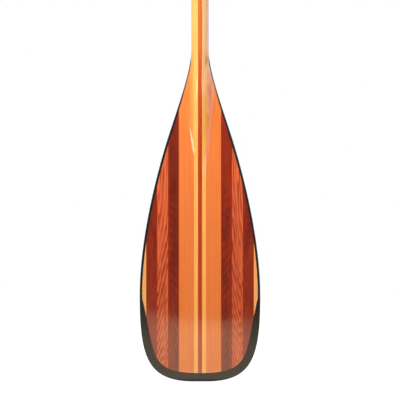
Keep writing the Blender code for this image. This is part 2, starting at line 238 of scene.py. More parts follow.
def grip_outline():
    """The grip's right edge: its neck, then its crown."""
    half = GRIP_WIDTH / 2
    base = OVERALL_LENGTH - GRIP_LENGTH
    shoulder = OVERALL_LENGTH - GRIP_SHOULDER_DROP
    neck = bezier(
        (SHAFT_WIDTH / 2, base),
        (SHAFT_WIDTH / 2, base + GRIP_NECK_PULL_SHARE * GRIP_LENGTH),
        (half, shoulder - GRIP_SHOULDER_PULL_SHARE * GRIP_LENGTH),
        (half, shoulder),
    )
    crown = bezier(
        (half, shoulder),
        (half, shoulder + GRIP_CROWN_RISE_SHARE * GRIP_SHOULDER_DROP),
        (half * GRIP_CROWN_PULL_SHARE, OVERALL_LENGTH),
        (0.0, OVERALL_LENGTH),
    )
    return neck, crown


TIP_EDGE, FLARE_EDGE = blade_outline()
NECK_EDGE, CROWN_EDGE = grip_outline()
OUTLINE = np.vstack((TIP_EDGE, FLARE_EDGE[1:], NECK_EDGE, CROWN_EDGE[1:]))


def outline_half(height):
    """Half the paddle's width at a height, guard included."""
    return np.interp(height, OUTLINE[:, 1], OUTLINE[:, 0])


def guard_band(height):
    """Width of the guard on the blade's side, which thins out towards the throat."""
    drop = BLADE_LENGTH - height
    run_in = ease((drop - EDGE_GUARD_START_DROP + EDGE_GUARD_RUN_IN) / EDGE_GUARD_RUN_IN)
    growth = ease((drop - EDGE_GUARD_START_DROP) / EDGE_GUARD_TAPER)
    return run_in * blend(EDGE_GUARD_START_WIDTH, EDGE_GUARD_WIDTH, growth)


def wood_outline():
    """The wood's right edge inside the guard: across the tip, then up the side to the throat."""
    corner = outline_half(TIP_GUARD_HEIGHT) - EDGE_GUARD_WIDTH
    handle = blend(TIP_GUARD_DEPTH, TIP_GUARD_HEIGHT, TIP_GUARD_CORNER_UP_SHARE)
    tip = bezier(
        (0.0, TIP_GUARD_DEPTH),
        (corner * TIP_GUARD_PULL_SHARE, TIP_GUARD_DEPTH),
        (corner * TIP_GUARD_CORNER_ACROSS_SHARE, handle),
        (corner, TIP_GUARD_HEIGHT),
    )
    heights = np.linspace(TIP_GUARD_HEIGHT, BLADE_LENGTH, SIDE_SAMPLES)
    return tip, np.column_stack((outline_half(heights) - guard_band(heights), heights))


WOOD_TIP, WOOD_SIDE = wood_outline()
WOOD = np.vstack((WOOD_TIP, WOOD_SIDE[1:], NECK_EDGE, CROWN_EDGE[1:]))
WOOD_FLARE = WOOD_SIDE[np.argmax(WOOD_SIDE[:, 0]) :]


def wood_half(height):
    """Half the wood's width at a height, without the guard."""
    return np.interp(height, WOOD[:, 1], WOOD[:, 0])


def height_on(edge, across):
    """Height at which a falling or rising edge lies this far from the middle."""
    order = edge if edge[0, 0] < edge[-1, 0] else edge[::-1]
    return np.interp(np.abs(across), order[:, 0], order[:, 1])


def lens_half(height):
    """Half the width over which the faces curve: the wood's, with its corner at the guard eased."""
    turn = WOOD_TIP[-1] - WOOD_TIP[-2]
    nearness = 1.0 - np.abs(height - TIP_GUARD_HEIGHT) / TIP_GUARD_CORNER_EASING
    easing = turn[0] / turn[1] * TIP_GUARD_CORNER_EASING / 4 * np.maximum(nearness, 0.0) ** 2
    return wood_half(height) - easing


def plate_half(across, height):
    """Half the thickness of the plain blade: flat in the middle, thin at the sides and tip."""
    side = np.minimum(across / np.maximum(lens_half(height), MERGE_DISTANCE), 1.0)
    lens = 1.0 - (np.maximum(side - FLAT_SHARE, 0.0) / (1.0 - FLAT_SHARE)) ** 2
    below = np.maximum(TIP_TAPER_HEIGHT - height, 0.0) / (TIP_TAPER_HEIGHT - TIP_GUARD_DEPTH)
    tip = 1.0 - np.minimum(below, 1.0) ** 2
    throat = ease((BLADE_LENGTH - height) / SPINE_BLEND)
    rim = RIM_THICKNESS / 2
    return rim + (BLADE_THICKNESS / 2 - rim) * lens * tip * throat


def spine_rise(across, height):
    """How far the spine stands proud of the plain blade as the shaft runs out into it."""
    drop = np.clip(BLADE_LENGTH - height, 0.0, SPINE_LENGTH)
    full = SHAFT_DEPTH / 2 - RIM_THICKNESS / 2
    full = full * (1.0 - (drop / SPINE_LENGTH) ** SPINE_START_SOFTNESS) ** SPINE_END_SOFTNESS
    share = ease(drop / SPINE_BLEND)
    run = np.maximum(drop - SPINE_BLEND, 0.0) / (SPINE_LENGTH - SPINE_BLEND)
    edge = np.maximum(wood_half(height), MERGE_DISTANCE)
    foot = np.minimum(blend(SPINE_FOOT_WIDTH, SPINE_END_WIDTH, run) / 2, edge)
    side = np.minimum(across / blend(edge, foot, share), 1.0)
    return full * (1.0 - side * side) ** blend(SHAFT_ROUNDNESS, SPINE_ROUNDNESS, share)


def grip_half_depth(height):
    """Half the depth on the middle line from the shaft up to the crown."""
    drop = OVERALL_LENGTH - height
    dome = np.sqrt(1.0 - (1.0 - np.clip(drop / GRIP_SHOULDER_DROP, 0.0, 1.0)) ** 2)
    swell = ease((GRIP_WAIST_DROP - drop) / (GRIP_WAIST_DROP - GRIP_SHOULDER_DROP))
    fall = ease((GRIP_LENGTH - drop) / (GRIP_LENGTH - GRIP_WAIST_DROP))
    neck = blend(SHAFT_DEPTH / 2, GRIP_WAIST_DEPTH / 2, fall)
    palm = blend(neck, GRIP_DEPTH / 2, swell)
    return blend(RIM_THICKNESS / 2, palm, dome)


def oval_half(across, height):
    """Half the thickness of the oval shaft and grip above the throat."""
    side = np.minimum(across / np.maximum(outline_half(height), MERGE_DISTANCE), 1.0)
    rim = RIM_THICKNESS / 2
    return rim + (grip_half_depth(height) - rim) * (1.0 - side * side) ** SHAFT_ROUNDNESS


def half_thickness(across, height):
    """Half the thickness of the wood anywhere on the paddle."""
    across = np.abs(across)
    blade = np.minimum(height, BLADE_LENGTH)
    plate = plate_half(across, blade) + spine_rise(across, blade)
    return np.where(height > BLADE_LENGTH, oval_half(across, height), plate)


# Rows and columns of each board's face, between its two glue lines


def row_shares(count):
    """Shares from 0 to 1 that lie somewhat closer together at both ends."""
    steps = np.linspace(0.0, 1.0, count + 1)
    return blend(steps, (1.0 - np.cos(pi * steps)) / 2, 0.5)


def closing_shares(count):
    """Shares from 0 to 1 that lie close together at the end only."""
    return np.sin(pi / 2 * np.linspace(0.0, 1.0, count + 1))


def seam_between(inner, outer):
    """Where two neighbouring boards meet, half-way across the glue line."""
    return (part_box(inner)[1].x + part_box(outer)[0].x) / 2


def seams():
    """Distances from the middle at which the boards meet."""
    names = [CENTRE_LAMINATION[0]]
    names += [name + "_right" for name, _ in LAMINATIONS + BLADE_BOARDS]
    return [seam_between(inner, outer) for inner, outer in zip(names, names[1:])]


SEAMS = seams()
LAMINATION_WIDTH = SEAMS[1] - SEAMS[0]
BOARD_START = SEAMS[len(LAMINATIONS)]
BOARD_WIDTH = SEAMS[len(LAMINATIONS) + 1] - BOARD_START


def lamination_face(inner, outer, shares):
    """Positions (x, z) of a board that runs from the blade's tip to the grip's crown."""
    blade_joint = height_on(WOOD_FLARE, BOARD_START)
    grip_joint = height_on(NECK_EDGE, BOARD_START)
    base = OVERALL_LENGTH - GRIP_LENGTH
    across = blend(inner, outer, shares)
    tip = height_on(WOOD_TIP, across)
    rows = [blend(tip, blade_joint, share) for share in row_shares(BLADE_ROWS)]
    stops = ((BLADE_LENGTH, THROAT_ROWS), (base, SHAFT_ROWS), (grip_joint, NECK_ROWS))
    start = blade_joint
    for stop, count in stops:
        levels = [blend(start, stop, row / count) for row in range(1, count + 1)]
        rows += [np.full(len(across), level) for level in levels]
        start = stop
    crown = height_on(CROWN_EDGE, across)
    rows += [blend(grip_joint, crown, share) for share in closing_shares(GRIP_ROWS)[1:]]
    heights = np.array(rows)
    reach = np.where((heights > blade_joint) & (heights < grip_joint), wood_half(heights), outer)
    reach = np.minimum(reach, outer)
    return blend(inner, reach, shares[None, :]), heights


def board_face(inner, outer, columns, lower, upper, shares):
    """Positions (x, z) of a board cut off below and above by the outline.

    The outermost board has no outer glue line: its side is the outline itself.
    """
    across = np.linspace(0.0, 1.0, columns + 1)
    if outer is None:
        heights = blend(height_on(lower, inner), height_on(upper, inner), shares)[:, None]
        heights = np.repeat(heights, columns + 1, axis=1)
        return blend(inner, wood_half(heights), across[None, :]), heights
    widths = blend(inner, outer, across)
    heights = blend(height_on(lower, widths), height_on(upper, widths), shares[:, None])
    return np.repeat(widths[None, :], len(shares), axis=0), heights


def all_faces():
    """Each board's name with its face positions, right-hand boards first."""
    name, columns = CENTRE_LAMINATION
    steps = np.linspace(-1.0, 1.0, columns + 1)
    faces = {name: lamination_face(0.0, SEAMS[0], steps)}
    right = {}
    for number, (name, columns) in enumerate(LAMINATIONS):
        shares = closing_shares(columns)
        right[name] = lamination_face(SEAMS[number], SEAMS[number + 1], shares)
    blade_seams = [*SEAMS[len(LAMINATIONS) :], None]
    for (name, columns), inner, outer in zip(BLADE_BOARDS, blade_seams, blade_seams[1:]):
        shares = row_shares(BLADE_ROWS)
        right[name] = board_face(inner, outer, columns, WOOD_TIP, WOOD_FLARE, shares)
    grip_names = [name + "_right" for name, _ in GRIP_BOARDS]
    grip_seams = [BOARD_START, seam_between(*grip_names), None]
    for (name, columns), inner, outer in zip(GRIP_BOARDS, grip_seams, grip_seams[1:]):
        shares = closing_shares(GRIP_ROWS)
        right[name] = board_face(inner, outer, columns, NECK_EDGE, CROWN_EDGE, shares)
    for name, (across, heights) in right.items():
        faces[name + "_right"] = (across, heights)
        faces[name + "_left"] = (-across[:, ::-1], heights[:, ::-1])
    return faces


# Working on meshes


def pick(*objects):
    """Select these objects alone, the first of them active."""
    bpy.ops.object.select_all(action="DESELECT")
    for item in objects:
        item.select_set(True)
    bpy.context.view_layer.objects.active = objects[0]


def edit(piece, *steps):
    """Run modelling steps in edit mode, starting with all of a piece selected."""
    pick(piece)
    bpy.ops.object.mode_set(mode="EDIT")
    bpy.ops.mesh.select_all(action="SELECT")
    for step in steps:
        step()
    bpy.ops.object.mode_set(mode="OBJECT")


def sheet(name, across, depths, heights):
    """A grid with its points set out on a face's rows and columns, looking towards -Y."""
    rows, columns = heights.shape
    bpy.ops.mesh.primitive_grid_add(x_subdivisions=columns - 1, y_subdivisions=rows - 1, size=1.0)
    piece = bpy.context.object
    piece.name = piece.data.name = name
    points = np.stack((across, depths, heights), axis=-1)
    piece.data.vertices.foreach_set("co", points.astype(np.float32).ravel())
    piece.data.materials.append(bpy.data.materials.new(name))
    return piece


def weld():
    bpy.ops.mesh.remove_doubles(threshold=MERGE_DISTANCE)
    bpy.ops.mesh.dissolve_degenerate(threshold=MERGE_DISTANCE)


def select_open_edges():
    bpy.ops.mesh.select_mode(type="EDGE")
    bpy.ops.mesh.select_all(action="DESELECT")
    bpy.ops.mesh.select_non_manifold(extend=False, use_wire=False, use_boundary=True)


def add_back():
    """Turn a front sheet into a closed body: its mirror image behind and a rim between them."""
    bpy.ops.mesh.duplicate()
    bpy.ops.transform.resize(value=(1, -1, 1), center_override=(0, 0, 0))
    bpy.ops.mesh.flip_normals()
    select_open_edges()
    bpy.ops.mesh.bridge_edge_loops()


def fill_open_sides():
    """Fill flat open sides with well-shaped triangles, so that no slivers lie on each other."""
    select_open_edges()
    bpy.ops.mesh.fill_holes(sides=0)
    bpy.ops.mesh.quads_convert_to_tris(quad_method="BEAUTY", ngon_method="BEAUTY")


def loop_values(mesh, name):
    values = np.empty(len(mesh.loops), int)
    mesh.loops.foreach_get(name, values)
    return values


def face_values(mesh, name):
    values = np.empty(len(mesh.polygons), int)
    mesh.polygons.foreach_get(name, values)
    return values


def scarf_plane(side):
    """A point on the scarf of this side and the direction that points above it."""
    slope = Vector((side * (BOARD_START - SEAMS[1]), 0.0, SCARF_LENGTH))
    point = Vector((side * SEAMS[1], 0.0, SCARF_HEIGHT))
    return point, Vector((-side * slope.z, 0.0, side * slope.x)).normalized()


def rim_takes_front_wood(mesh, fronts):
    """Give each rim face the board of the front face that it borders."""
    owners = np.repeat(np.arange(len(mesh.polygons)), face_values(mesh, "loop_total"))
    pairs = owners[np.argsort(loop_values(mesh, "edge_index"), kind="stable")].reshape(-1, 2)
    front, rim = pairs.min(axis=1), pairs.max(axis=1)
    border = (front < fronts) & (rim >= 2 * fronts)
    boards = face_values(mesh, "material_index")
    boards[rim[border]] = boards[front[border]]
    mesh.polygons.foreach_set("material_index", boards)


def planed_blank():
    """The whole paddle's wood as one fair body, each board's faces in a slot of its own."""
    sheets = []
    for name, (across, heights) in all_faces().items():
        sheets.append(sheet(name, across, -half_thickness(across, heights), heights))
    pick(*sheets)
    bpy.ops.object.join()
    blank = bpy.context.object
    edit(blank, weld)
    fronts = len(blank.data.polygons)
    edit(blank, add_back)
    rim_takes_front_wood(blank.data, fronts)
    return blank


def scarf_blank(blank, side_name, side):
    """Cut one outer lamination on a slant, and make what lies below it the blade's core strip."""
    mesh = blank.data
    lamination = mesh.materials.find("shaft_outer_lam_" + side_name)
    mesh.materials.append(bpy.data.materials.new("blade_core_strip_" + side_name))
    point, above = scarf_plane(side)

    def cut():
        bpy.ops.mesh.select_mode(type="FACE")
        bpy.ops.mesh.select_all(action="DESELECT")
        blank.active_material_index = lamination
        bpy.ops.object.material_slot_select()
        bpy.ops.mesh.bisect(plane_co=point, plane_no=above, threshold=MERGE_DISTANCE)

    edit(blank, cut)
    centres = np.empty(len(mesh.polygons) * 3, np.float32)
    mesh.polygons.foreach_get("center", centres)
    boards = face_values(mesh, "material_index")
    below = (centres.reshape(-1, 3) - np.array(point)) @ np.array(above) < 0.0
    boards[(boards == lamination) & below] = len(mesh.materials) - 1
    mesh.polygons.foreach_set("material_index", boards)


def sawn_apart(blank):
    """Separate the blank along its glue lines. Each board keeps the blank's own shading."""
    for side_name, side in SIDES:
        scarf_blank(blank, side_name, side)
    pick(blank)
    bpy.ops.object.shade_smooth_by_angle(angle=SMOOTH_ANGLE)
    mesh = blank.data
    normals = np.empty(len(mesh.loops) * 3, np.float32)
    mesh.corner_normals.foreach_get("vector", normals)
    mesh.attributes.new("fair_normal", "FLOAT_VECTOR", "CORNER").data.foreach_set("vector", normals)
    before = set(bpy.data.objects)
    edit(blank, lambda: bpy.ops.mesh.separate(type="MATERIAL"))
    boards = [blank, *(set(bpy.data.objects) - before)]
    return sorted(boards, key=lambda board: board.data.materials[0].name)


def pick_scarf_edges(board, side):
    """Select a board's open edges that lie in the scarf, and tell whether it has any."""
    point, above = scarf_plane(side)
    mesh = board.data
    places = np.empty(len(mesh.vertices) * 3, np.float32)
    mesh.vertices.foreach_get("co", places)
    distance = (places.reshape(-1, 3) - np.array(point)) @ np.array(above)
    on_scarf = np.abs(distance) < 4 * MERGE_DISTANCE
    ends = np.empty(len(mesh.edges) * 2, int)
    mesh.edges.foreach_get("vertices", ends)
    uses = np.bincount(loop_values(mesh, "edge_index"), minlength=len(mesh.edges))
    chosen = on_scarf[ends.reshape(-1, 2)].all(axis=1) & (uses == 1)
    mesh.polygons.foreach_set("select", np.zeros(len(mesh.polygons), bool))
    mesh.vertices.foreach_set("select", np.zeros(len(mesh.vertices), bool))
    mesh.edges.foreach_set("select", chosen)
    return bool(chosen.any())


def close_scarf(board):
    """Close the slanted end of a board between its front and its back."""
    pick(board)
    for _, side in SIDES:
        if not pick_scarf_edges(board, side):
            continue
        bpy.context.tool_settings.mesh_select_mode = (False, True, False)
        bpy.ops.object.mode_set(mode="EDIT")
        bpy.ops.mesh.bridge_edge_loops()
        bpy.ops.object.mode_set(mode="OBJECT")


def close_glue_faces(board):
    """Fill a board's open sides and set the shading of its planed faces.

    The planed faces come first in the mesh, and those added here follow them.
    """
    planed = len(board.data.polygons)
    close_scarf(board)
    edit(board, fill_open_sides)
    mesh = board.data
    stored = mesh.attributes["fair_normal"]
    fair = np.empty(len(mesh.loops) * 3, np.float32)
    stored.data.foreach_get("vector", fair)
    fair = fair.reshape(-1, 3)
    flat = np.empty(len(mesh.polygons) * 3, np.float32)
    mesh.polygons.foreach_get("normal", flat)
    owners = np.repeat(np.arange(len(mesh.polygons)), face_values(mesh, "loop_total"))
    glued = owners >= planed
    fair[glued] = flat.reshape(-1, 3)[owners[glued]]
    mesh.attributes.remove(stored)
    mesh.normals_split_custom_set([tuple(normal) for normal in fair])


def even_steps(edge, length):
    """Points along an edge at even steps of about this length."""
    run = np.concatenate(([0.0], np.cumsum(np.hypot(*np.diff(edge, axis=0).T))))
    stops = np.linspace(0.0, run[-1], int(run[-1] / length) + 1)
    return np.column_stack([np.interp(stops, run, edge[:, axis]) for axis in (0, 1)])


def guard_face(wood_edge):
    """Rows across the guard, square to the outline, from the wood to the rounded edge."""
    run = np.gradient(wood_edge, axis=0)
    outward = np.column_stack((run[:, 1], -run[:, 0]))
    outward /= np.linalg.norm(outward, axis=1)[:, None]
    flat = [(x, 0.0) for x in np.linspace(0.0, TIP_FLAT / 2, FLAT_SAMPLES)]
    outline = np.vstack((flat, OUTLINE[1:]))
    rows = []
    for point, normal in zip(wood_edge, outward):
        inner = point - normal * GUARD_OVERLAP
        outer = outline[np.argmin(np.hypot(*(outline - point).T))]
        width = max(float(np.hypot(*(outer - inner))), 2 * GUARD_OVERLAP)
        radius = min(GUARD_EDGE_RADIUS, GUARD_RADIUS_SHARE * width)
        face = np.linspace(0.0, 1.0 - radius / width, GUARD_FACE_STEPS + 1)[:-1]
        turns = np.linspace(0.0, pi / 2, GUARD_EDGE_STEPS + 1)
        across = np.concatenate((face, 1.0 - radius * (1.0 - np.sin(turns)) / width))
        halves = np.full(len(across), RIM_THICKNESS / 2)
        halves[len(face) :] = blend(GUARD_EDGE_FLAT / 2, RIM_THICKNESS / 2, np.cos(turns))
        places = inner + (outer - inner) * across[:, None]
        rows.append(np.column_stack((places, halves)))
    return np.array(rows)


def guard_piece(name, rows):
    """A closed, smoothly shaded casting from the rows of its front face."""
    piece = sheet(name, rows[:, :, 0], -rows[:, :, 2], rows[:, :, 1])
    edit(piece, weld, add_back)
    pick(piece)
    bpy.ops.object.shade_smooth_by_angle(angle=SMOOTH_ANGLE)
    return piece


def guards():
    """The cast guard: one piece across the tip and one up each side of the blade."""
    top = BLADE_LENGTH - EDGE_GUARD_START_DROP + EDGE_GUARD_RUN_IN
    side = WOOD_SIDE[WOOD_SIDE[:, 1] < top]
    right = guard_face(even_steps(side, GUARD_STEP))
    left = right[:, ::-1] * np.array((-1, 1, 1))
    tip = guard_face(even_steps(WOOD_TIP, GUARD_STEP))
    mirrored_tip = tip[:0:-1] * np.array((-1, 1, 1))
    return [
        guard_piece("edge_guard_right", right),
        guard_piece("edge_guard_left", left),
        guard_piece("tip_guard", np.concatenate((mirrored_tip, tip))),
    ]


# Materials

# Figure in the wood and ripple in the film. Sizes are across and along the wood, and ranges are
# the values of a line's step or of the noise at which an effect starts and is full. The lean is
# how far a line moves across for each metre of depth.
LINE_LEAN = 0.4
LINE_RISE = (0.15, 0.75)
LINE_FALL = (1.0, 0.84)
PATCH_SIZE = (0.007, 0.060)
PATCH_RANGE = (0.32, 0.60)
TONE_RANGE = (0.28, 0.72)
RIPPLE_SIZE = (0.009, 0.014)
DULL_SIZE = (0.003, 0.030)
DULL_RANGE = (0.3, 0.7)
RIPPLE_RELIEF = 0.4
BUMP_STRENGTH = 0.35
BUMP_DISTANCE = 0.0004

# Finishes: roughness under the coat where it is clear and where it is dull, the specular level,
# and the coat's weight, roughness and index of refraction
VARNISH = (0.28, 0.42, 0.05, (1.0, 0.07, 1.65))
RESIN_GLOSS = (0.42, 0.60, 0.05, (0.75, 0.16, 1.60))


def wire(tree, source, target):
    """Join a socket to an input, or write a plain value on it."""
    if isinstance(source, bpy.types.NodeSocket):
        tree.links.new(source, target)
    else:
        target.default_value = source


def add(tree, kind, settings=None, **inputs):
    """A node with its settings and its inputs, each a value or another node's socket."""
    node = tree.nodes.new(kind)
    for name, value in (settings or {}).items():
        setattr(node, name, value)
    for name, value in inputs.items():
        wire(tree, value, node.inputs[name.replace("_", " ")])
    return node


def calculate(tree, operation, first, second=0.0):
    node = add(tree, "ShaderNodeMath", {"operation": operation})
    wire(tree, first, node.inputs[0])
    wire(tree, second, node.inputs[1])
    return node.outputs[0]


def rise(tree, value, start, end, low=0.0, high=1.0):
    """A smooth step from low to high as a value goes from start to end."""
    node = add(
        tree,
        "ShaderNodeMapRange",
        {"interpolation_type": "SMOOTHSTEP"},
        Value=value,
        From_Min=start,
        From_Max=end,
        To_Min=low,
        To_Max=high,
    )
    return node.outputs["Result"]


def noise(tree, vector, detail=2.0, roughness=0.5):
    node = add(
        tree, "ShaderNodeTexNoise", Vector=vector, Scale=1.0, Detail=detail, Roughness=roughness
    )
    return node.outputs["Fac"]


def blend_colours(tree, share, first, second, kind="MIX"):
    """Mix two colours, each a socket or three numbers."""
    node = add(tree, "ShaderNodeMix", {"data_type": "RGBA", "blend_type": kind})
    wire(tree, share, node.inputs[0])
    for colour, target in ((first, node.inputs[6]), (second, node.inputs[7])):
        wire(tree, (*colour, 1.0) if isinstance(colour, tuple) else colour, target)
    return node.outputs[2]


def tint(tree, base, mask, strength, colour):
    """Bring a colour in where the mask is 1, at this strength."""
    return blend_colours(tree, calculate(tree, "MULTIPLY", mask, strength), base, colour)


def axes(tree, vector):
    """The X, Y and Z of a place or direction."""
    return add(tree, "ShaderNodeSeparateXYZ", Vector=vector).outputs


def node_group(name, inputs, outputs):
    """A shader node group that reads a place on the wood and has some named numbers."""
    tree = bpy.data.node_groups.new(name, "ShaderNodeTree")
    tree.interface.new_socket("Place", in_out="INPUT", socket_type="NodeSocketVector")
    for label, value in inputs.items():
        socket = tree.interface.new_socket(label, in_out="INPUT", socket_type="NodeSocketFloat")
        socket.default_value = value
    for label in outputs:
        tree.interface.new_socket(label, in_out="OUTPUT", socket_type="NodeSocketFloat")
    return tree, tree.nodes.new("NodeGroupInput").outputs, tree.nodes.new("NodeGroupOutput").inputs


def apply_group(tree, group, place, **inputs):
    """Put a group into a material with its own values, and give its outputs."""
    return add(tree, "ShaderNodeGroup", {"node_tree": group}, Place=place, **inputs).outputs


def drawn_out(tree, place, across, along):
    """A place measured in widths across the wood and lengths along it."""
    lengths = add(tree, "ShaderNodeCombineXYZ", X=across, Y=across, Z=along).outputs[0]
    node = add(tree, "ShaderNodeVectorMath", {"operation": "DIVIDE"})
    wire(tree, place, node.inputs[0])
    wire(tree, lengths, node.inputs[1])
    return node.outputs[0]


def straight_grain_group():
    """Lines that run up the board: 1 on a line, 0 between lines."""
    sizes = {"Width": 0.001, "Length": 0.06, "Start": 0.45, "Full": 0.65}
    tree, given, result = node_group("straight_grain", sizes, ["Line"])
    vector = drawn_out(tree, given["Place"], given["Width"], given["Length"])
    line = rise(tree, noise(tree, vector, 2.0, 0.6), given["Start"], given["Full"])
    wire(tree, line, result["Line"])
    return tree


def curved_figure_group():
    """Curved growth lines, mirrored on the two sides of the paddle: 1 on a line, 0 between.

    Across and Along are how many lines a metre crosses in each direction at height 0, and the two
    changes are how much these numbers grow for each metre up.
    """
    sizes = {
        "Start": BOARD_START,
        "Across": 200.0,
        "Across Change": 0.0,
        "Along": 80.0,
        "Along Change": 0.0,
        "Wave": 0.5,
        "Wave Width": 0.012,
        "Wave Length": 0.06,
        "Patch": 0.3,
    }
    tree, given, result = node_group("curved_figure", sizes, ["Line"])
    parts = axes(tree, given["Place"])
    across = calculate(tree, "SUBTRACT", calculate(tree, "ABSOLUTE", parts["X"]), given["Start"])
    across = calculate(tree, "ADD", across, calculate(tree, "MULTIPLY", parts["Y"], LINE_LEAN))
    phase = 0.0
    for distance, count, change in (
        (across, "Across", "Across Change"),
        (parts["Z"], "Along", "Along Change"),
    ):
        lines = calculate(tree, "MULTIPLY", parts["Z"], given[change])
        lines = calculate(tree, "ADD", lines, given[count])
        phase = calculate(tree, "ADD", calculate(tree, "MULTIPLY", distance, lines), phase)
    bends = drawn_out(tree, given["Place"], given["Wave Width"], given["Wave Length"])
    bends = calculate(tree, "SUBTRACT", noise(tree, bends, 1.0), 0.5)
    phase = calculate(tree, "ADD", phase, calculate(tree, "MULTIPLY", bends, given["Wave"]))
    step = calculate(tree, "FRACT", phase)
    line = calculate(tree, "MULTIPLY", rise(tree, step, *LINE_RISE), rise(tree, step, *LINE_FALL))
    patch = drawn_out(tree, given["Place"], *PATCH_SIZE)
    patch = rise(tree, noise(tree, patch, 1.0), *PATCH_RANGE, given["Patch"], 1.0)
    wire(tree, calculate(tree, "MULTIPLY", line, patch), result["Line"])
    return tree


def slow_tone_group():
    """Wide soft patches of lighter and darker wood, from 0 to 1."""
    sizes = {"Width": 0.012, "Length": 0.08}
    tree, given, result = node_group("slow_tone", sizes, ["Tone"])
    vector = drawn_out(tree, given["Place"], given["Width"], given["Length"])
    wire(tree, rise(tree, noise(tree, vector, 2.0, 0.55), *TONE_RANGE), result["Tone"])
    return tree


def glue_edge_group():
    """How near the closest glue line is: 1 on it, 0 from Width on. Glue lines are evenly set."""
    sizes = {"First": BOARD_START, "Board": BOARD_WIDTH, "Width": 0.002}
    tree, given, result = node_group("glue_edge", sizes, ["Edge"])
    parts = axes(tree, given["Place"])
    across = calculate(tree, "SUBTRACT", calculate(tree, "ABSOLUTE", parts["X"]), given["First"])
    half = calculate(tree, "MULTIPLY", given["Board"], 0.5)
    distance = calculate(tree, "PINGPONG", across, half)
    wire(tree, rise(tree, distance, given["Width"], 0.0), result["Edge"])
    return tree


def varnish_film_group():
    """The varnish over the wood: its slight ripple, and where it is a little less clear."""
    sizes = {"Clear": 0.28, "Dull": 0.40}
    tree, given, result = node_group("varnish_film", sizes, ["Roughness", "Ripple"])
    ripple = noise(tree, drawn_out(tree, given["Place"], *RIPPLE_SIZE), 1.0)
    dull = noise(tree, drawn_out(tree, given["Place"], *DULL_SIZE), 3.0, 0.6)
    wire(tree, rise(tree, dull, *DULL_RANGE, given["Clear"], given["Dull"]), result["Roughness"])
    wire(tree, ripple, result["Ripple"])
    return tree


STRAIGHT_GRAIN = straight_grain_group()
CURVED_FIGURE = curved_figure_group()
SLOW_TONE = slow_tone_group()
GLUE_EDGE = glue_edge_group()
VARNISH_FILM = varnish_film_group()


def finish_material(name, surface, clear, dull, specular, coat):
    """A material whose surface function gives its colour and the height of its grain."""
    material = bpy.data.materials.new(name)
    material.use_nodes = True
    tree = material.node_tree
    shader = tree.nodes["Principled BSDF"]
    place = add(tree, "ShaderNodeTexCoord").outputs["Object"]
    colour, relief = surface(tree, place)
    film = apply_group(tree, VARNISH_FILM, place, Clear=clear, Dull=dull)
    ripple = calculate(tree, "MULTIPLY", film["Ripple"], RIPPLE_RELIEF)
    height = calculate(tree, "ADD", ripple, relief)
    bump = add(
        tree, "ShaderNodeBump", Strength=BUMP_STRENGTH, Distance=BUMP_DISTANCE, Height=height
    )
    wire(tree, colour, shader.inputs["Base Color"])
    wire(tree, film["Roughness"], shader.inputs["Roughness"])
    wire(tree, bump.outputs["Normal"], shader.inputs["Normal"])
    shader.inputs["Specular IOR Level"].default_value = specular
    for label, value in zip(("Coat Weight", "Coat Roughness", "Coat IOR"), coat):
        shader.inputs[label].default_value = value
    return material


def red_cedar(tree, place):
    """Red at the blade, turning orange up the shaft, with a few dark lines."""
    parts = axes(tree, place)
    lines = apply_group(tree, STRAIGHT_GRAIN, place, Width=0.0011, Length=0.16, Start=0.4, Full=0.7)
    tone = apply_group(tree, SLOW_TONE, place, Width=0.006, Length=0.10)
    upper = rise(tree, parts["Z"], 0.36, 0.52)
    base = blend_colours(tree, upper, (0.52, 0.047, 0.010), (0.59, 0.085, 0.018))
    height = calculate(tree, "ADD", parts["Z"], calculate(tree, "MULTIPLY", tone["Tone"], 0.02))
    base = blend_colours(tree, rise(tree, height, 0.545, 0.600), base, (0.70, 0.175, 0.040))
    base = tint(tree, base, tone["Tone"], 0.30, (0.36, 0.040, 0.009))
    base = tint(tree, base, lines["Line"], 0.55, (0.38, 0.038, 0.008))
    return base, lines["Line"]


def yellow_spruce(tree, place):
    """Plain golden wood with faint fine lines, turning orange at the outside of the blade's."""
    parts = axes(tree, place)
    across = calculate(tree, "ABSOLUTE", parts["X"])
    lines = apply_group(tree, STRAIGHT_GRAIN, place, Width=0.0009, Length=0.20)
    tone = apply_group(tree, SLOW_TONE, place, Width=0.005, Length=0.12)
    edge = apply_group(
        tree, GLUE_EDGE, place, First=SEAMS[0], Board=LAMINATION_WIDTH, Width=0.0008
    )
    base = tint(tree, (0.96, 0.430, 0.098), tone["Tone"], 0.35, (0.96, 0.480, 0.140))
    base = tint(tree, base, lines["Line"], 0.35, (0.88, 0.320, 0.060))
    base = tint(tree, base, edge["Edge"], 0.35, (0.86, 0.260, 0.050))
    lower = rise(tree, parts["Z"], 0.600, 0.545)
    outside = calculate(tree, "MULTIPLY", rise(tree, across, 0.0088, 0.0152), lower)
    return tint(tree, base, outside, 0.92, (0.88, 0.245, 0.050)), lines["Line"]


def orange_cedar(tree, place):
    """Even orange with fine straight lines, rosier beside the dark strips."""
    lines = apply_group(tree, STRAIGHT_GRAIN, place, Width=0.0016, Length=0.24)
    tone = apply_group(tree, SLOW_TONE, place, Width=0.010, Length=0.14)
    edge = apply_group(tree, GLUE_EDGE, place, Width=0.0035)
    base = tint(tree, (0.80, 0.190, 0.038), tone["Tone"], 0.6, (0.86, 0.228, 0.046))
    base = tint(tree, base, lines["Line"], 0.25, (0.72, 0.145, 0.030))
    return tint(tree, base, edge["Edge"], 0.6, (0.77, 0.180, 0.068)), lines["Line"]


